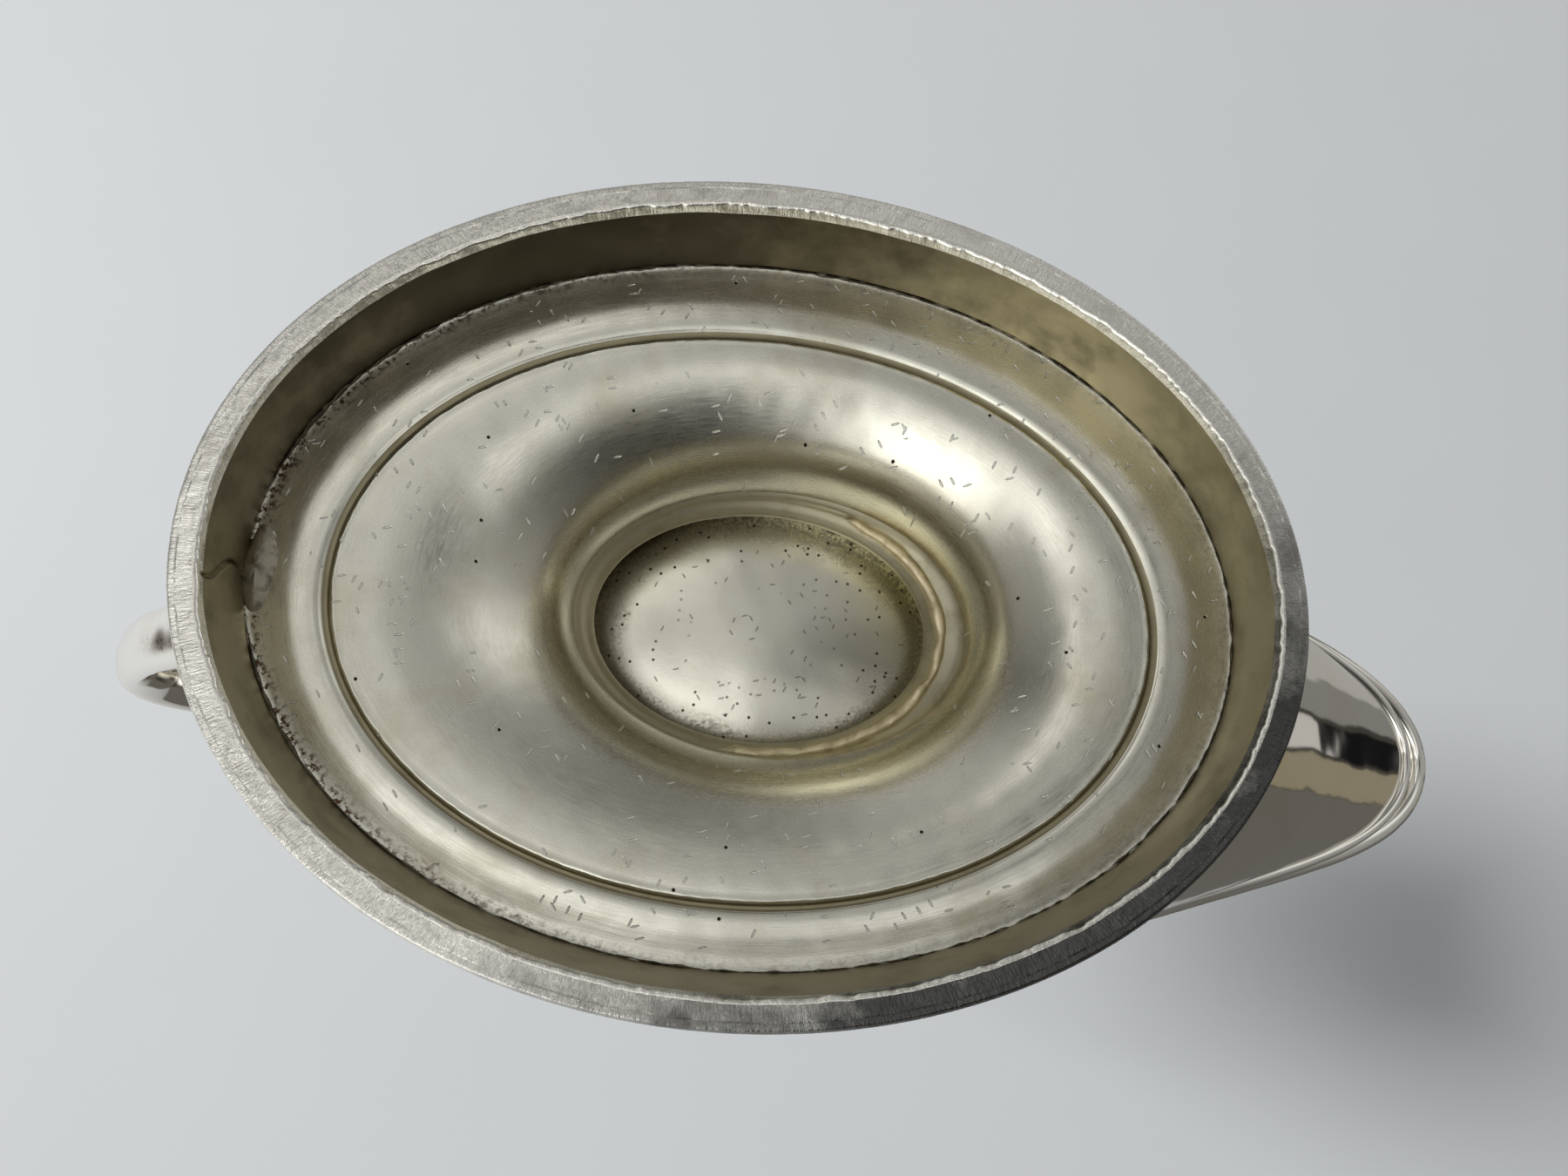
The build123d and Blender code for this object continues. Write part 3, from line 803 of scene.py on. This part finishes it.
def build_patch():
    """The domed oval of solder over the seam at the handle's end."""
    turn = np.linspace(0, 2 * pi, 72, endpoint=False)
    rows = 12
    rings = []
    for k in range(rows):
        s = 1 - k / rows
        swell = sqrt(1 - s**2 * 0.98)
        wobble = 1 + 0.1 * ragged(turn, 14, 81) * s
        x = PATCH_X + PATCH_HALF_X * s * wobble * np.cos(turn)
        y = PATCH_Y + PATCH_HALF_Y * s * wobble * np.sin(turn)
        z = SEAM_Z + 0.7 - PATCH_DEPTH * swell + 0.05 * ragged(turn, 9, 82)
        rings.append(np.stack([x, y, z], -1))
    grid_piece("seam_solder_patch", np.array(rings), [GREY_SOLDER], "foot_solder_patch")


build_bead(
    "throat_solder", GOLDEN, "neck_solder_fillet",
    oval=(17.4, 12.4, NECK_X - LIP_SHIFT), z=20.8, arc=(-65, 165), radius=0.58, rough=0.13, wave=4.0, seed=61,
)
build_bead(
    "seam_solder_line", DIRT, "foot_seam_solder",
    oval=(SEAM_A - 0.05, SEAM_B - 0.05, 0), z=SEAM_Z - 0.02, arc=(-170, 340), radius=0.075, rough=0.5,
    wave=2.0, seed=71, swell=2.4,
)
build_patch()


# ---------------------------------------------------------------- the stage
# Places are in metres here, as the lamps' are.
FLOOR_REACH = 4.0
FLOOR_Z = -0.0001  # just under the foot's face
TABLE_Z = 0.40
TABLE_MARGIN = 1.04  # the table's width, as a share of the camera's view
CAMERA_PLACE = Vector((-0.623, 21.341, -90.451)) * MM
CAMERA_TURN = Vector((-0.22, -0.046, 0.088))  # its length is the angle, in radians
CAMERA_LENS, CAMERA_SENSOR = 27.04, 36.0  # in millimetres
PICTURE_SHAPE = 3 / 4  # height over width


def one_sided(name, colour, tint):
    """A pale matt sheet that is seen from its front only."""
    material, n = new_material(name)
    cloud = n.noise(n.place(), 60.0, 3, 0.5)
    matt = n.add("ShaderNodeBsdfDiffuse", {"Color": n.mix(cloud, colour, tint)})
    clear = n.add("ShaderNodeBsdfTransparent")
    back = n.add("ShaderNodeNewGeometry").outputs["Backfacing"]
    mixed = n.add("ShaderNodeMixShader", {0: back, 1: matt.outputs[0], 2: clear.outputs[0]})
    n.add("ShaderNodeOutputMaterial", {"Surface": mixed.outputs[0]})
    return material


def stage_sheet(name, corners, material):
    """A sheet that only the camera sees, so that it neither mirrors in the boat nor shades it."""
    mesh = bpy.data.meshes.new(name)
    mesh.from_pydata(corners, [], [tuple(range(len(corners)))])
    mesh.materials.append(material)
    sheet = bpy.data.objects.new(name, mesh)
    sheet.visible_glossy = False
    sheet.visible_diffuse = False
    sheet.visible_shadow = False
    bpy.context.scene.collection.objects.link(sheet)


def build_floor():
    """The floor under the standing boat; from below, the camera looks through it."""
    corners = [(x * FLOOR_REACH, y * FLOOR_REACH, FLOOR_Z) for x, y in ((-1, -1), (1, -1), (1, 1), (-1, 1))]
    stage_sheet("floor", corners, one_sided("pale_floor", (0.78, 0.78, 0.77), (0.82, 0.82, 0.81)))


def build_camera():
    """The camera of the photograph, which looks up at the foot from below."""
    turn = Matrix.Rotation(CAMERA_TURN.length, 3, CAMERA_TURN.normalized())
    axes = Matrix((turn[0], -turn[1], -turn[2])).transposed()
    data = bpy.data.cameras.new("camera")
    data.lens = CAMERA_LENS
    data.sensor_width = CAMERA_SENSOR
    data.clip_start = 0.01
    camera = bpy.data.objects.new("camera", data)
    bpy.context.scene.collection.objects.link(camera)
    camera.matrix_world = Matrix.Translation(CAMERA_PLACE) @ axes.to_4x4()
    bpy.context.view_layer.update()
    bpy.context.scene.camera = camera
    return camera


def build_table(camera):
    """The table behind the upturned boat: it covers the camera's view and no more."""
    width = CAMERA_SENSOR / 2 * TABLE_MARGIN
    height = width * PICTURE_SHAPE
    corners = []
    for across, up in ((-1, -1), (1, -1), (1, 1), (-1, 1)):
        way = camera.matrix_world.to_3x3() @ Vector((across * width, up * height, -CAMERA_LENS))
        corners.append(camera.location + way * ((TABLE_Z - camera.location.z) / way.z))
    stage_sheet("table", corners, one_sided("pale_table", (0.69, 0.72, 0.745), (0.71, 0.74, 0.765)))


def soft_light(name, place, target, size, power, colour=(1, 1, 1), shadow=True):
    """A round lamp that the metal doesn't mirror; the room in the world's colours does that."""
    data = bpy.data.lights.new(name, "AREA")
    data.shape = "DISK"
    data.size = size
    data.energy = power
    data.color = colour
    data.use_shadow = shadow
    lamp = bpy.data.objects.new(name, data)
    lamp.location = place
    lamp.rotation_euler = (Vector(target) - Vector(place)).to_track_quat("-Z", "Y").to_euler()
    bpy.context.scene.collection.objects.link(lamp)
    lamp.visible_glossy = False
    lamp.visible_camera = False


build_floor()
build_table(build_camera())
soft_light("below_key", (-3.15, -0.4, -3.7), (0, 0, 0.2), 1.5, 255.0, colour=(1, 0.99, 0.97))
soft_light("below_side", (-0.42, -0.12, 0.08), (-0.36, -0.1, 0.4), 0.3, 0.10, shadow=False)
soft_light("above_key", (-0.5, -0.6, 0.9), (0, 0, 0.05), 0.5, 6)
soft_light("above_fill", (0.8, 0.3, 0.8), (0, 0, 0.05), 0.8, 3)
soft_light("above_wide", (0, 0, 2.6), (0, 0, 0), 3.0, 60)


# ---------------------------------------------------------------- the room that the metal mirrors
# The boat lies upside down in the photograph, so the ceiling of that room is straight below the foot
# here. Turns go round from the spout and tilts go up from straight below, both in degrees.
# How bright the room is, as (turn, brightness): first on the ceiling, then on the walls.
ROOM_CEILING = [
    (-180, 0.55), (-155, 0.25), (-120, 0.75), (-104, 0.4), (-90, 0.15), (-76, 0.5), (-62, 0.4), (-45, 0.1),
    (-20, 0.05), (5, 0.22), (25, 1.20), (50, 0.90), (75, 0.16), (92, 0.40), (114, 1.5), (132, 0.65),
    (155, 1.9), (180, 0.55),
]
ROOM_WALLS = [
    (-180, 0.28), (-140, 0.14), (-105, 0.42), (-85, 0.15), (-62, 0.26), (-42, 0.85), (-28, 0.6), (-12, 0.33),
    (10, 0.28), (35, 0.13), (70, 0.03), (88, 0.10), (100, 0.9), (116, 2.6), (132, 1.0), (145, 0.36),
    (180, 0.28),
]
# Patches as (turns, tilts, colour): a pale one that mirrors in the filed face on the handle's side, those
# beyond the spout that mirror in its underside, and those behind the handle, whose turns are counted
# either way round.
PALE_PATCH = [((-178, -100), (25, 34), (1.0, 0.98, 0.94))]
BEYOND_SPOUT = [
    ((-60, -12), (98, 150), (0.20, 0.195, 0.185)),
    ((-34, -21), (98, 150), (0.36, 0.35, 0.335)),
    ((-12, 9), (98, 150), (0.045, 0.042, 0.036)),
    ((-10.3, -2.4), (98, 113.2), (0.46, 0.45, 0.43)),
    ((-10.3, -2.4), (113.2, 122), (0.006, 0.006, 0.007)),
    ((-1.2, 8.4), (98, 122), (0.24, 0.21, 0.15)),
    ((9, 60), (98, 150), (0.12, 0.115, 0.105)),
]
BEHIND_HANDLE = [
    ((166, 181), (112, 123.4), (0.16, 0.10, 0.06)),
    ((168, 181), (113, 122.8), (0.012, 0.01, 0.009)),
]


def panorama(n, turn, stops):
    """A grey that changes round the boat, from (turn, brightness) in rising order."""
    node = n.add("ShaderNodeValToRGB", {"Fac": n.ramp(turn, -180.0, 180.0)})
    elements = node.color_ramp.elements
    node.color_ramp.interpolation = "EASE"
    for degrees, _bright in stops[1:-1]:
        elements.new((degrees + 180) / 360)
    for element, (_degrees, bright) in zip(elements, stops):
        element.color = (bright, bright, bright * 0.98, 1)
    return node.outputs["Color"]


def between(n, value, low, high, soft):
    """1 between low and high, with soft edges."""
    return n.times(n.ramp(value, low - soft, low + soft), n.ramp(value, high - soft, high + soft, 1.0, 0.0))


def mirrored_room(n):
    """The colour that a mirror ray meets in each direction."""
    way = n.add("ShaderNodeTexCoord").outputs["Generated"]
    x, y, z = n.axes(way)
    turn = n.times(n.math("ARCTAN2", y, x), 180 / pi)
    tilt = n.times(n.math("ARCCOSINE", n.times(z, -1.0)), 180 / pi)
    room = n.mix(n.ramp(tilt, 16.0, 40.0), panorama(n, turn, ROOM_CEILING), panorama(n, turn, ROOM_WALLS))
    room = n.mix(n.ramp(tilt, 2.0, 11.0, 0.85, 0.0), room, (0.52, 0.52, 0.51))
    sky = n.mix(n.ramp(n.towards(way, (1, 0, 0.2)), -0.6, 0.9), (0.72, 0.73, 0.73), (0.2, 0.2, 0.2))
    seen = n.mix(n.ramp(tilt, 88.0, 108.0), room, sky)
    wavy = n.plus(turn, n.ramp(n.noise(way, 0.05, 3), 0.2, 0.8, -0.8, 0.8))
    either_way = n.math("ABSOLUTE", wavy)
    for way_round, patches in ((wavy, PALE_PATCH + BEYOND_SPOUT), (either_way, BEHIND_HANDLE)):
        for turns, tilts, colour in patches:
            share = n.times(between(n, way_round, *turns, 0.35), between(n, tilt, *tilts, 0.3))
            seen = n.mix(share, seen, colour)
    return seen


def build_world():
    """The room for mirror rays, the table's pale grey for the camera, and little light otherwise."""
    world = bpy.data.worlds.new("studio")
    bpy.context.scene.world = world
    world.use_nodes = True
    n = Nodes(world.node_tree)
    ray = n.add("ShaderNodeLightPath")
    plain = n.mix(ray.outputs["Is Camera Ray"], (0.06, 0.06, 0.062), (0.69, 0.71, 0.72))
    colour = n.mix(ray.outputs["Is Glossy Ray"], plain, mirrored_room(n))
    shader = n.add("ShaderNodeBackground", {"Color": colour, "Strength": 1.0})
    n.add("ShaderNodeOutputWorld", {"Surface": shader.outputs[0]})


build_world()
bpy.context.scene.view_settings.view_transform = "Standard"
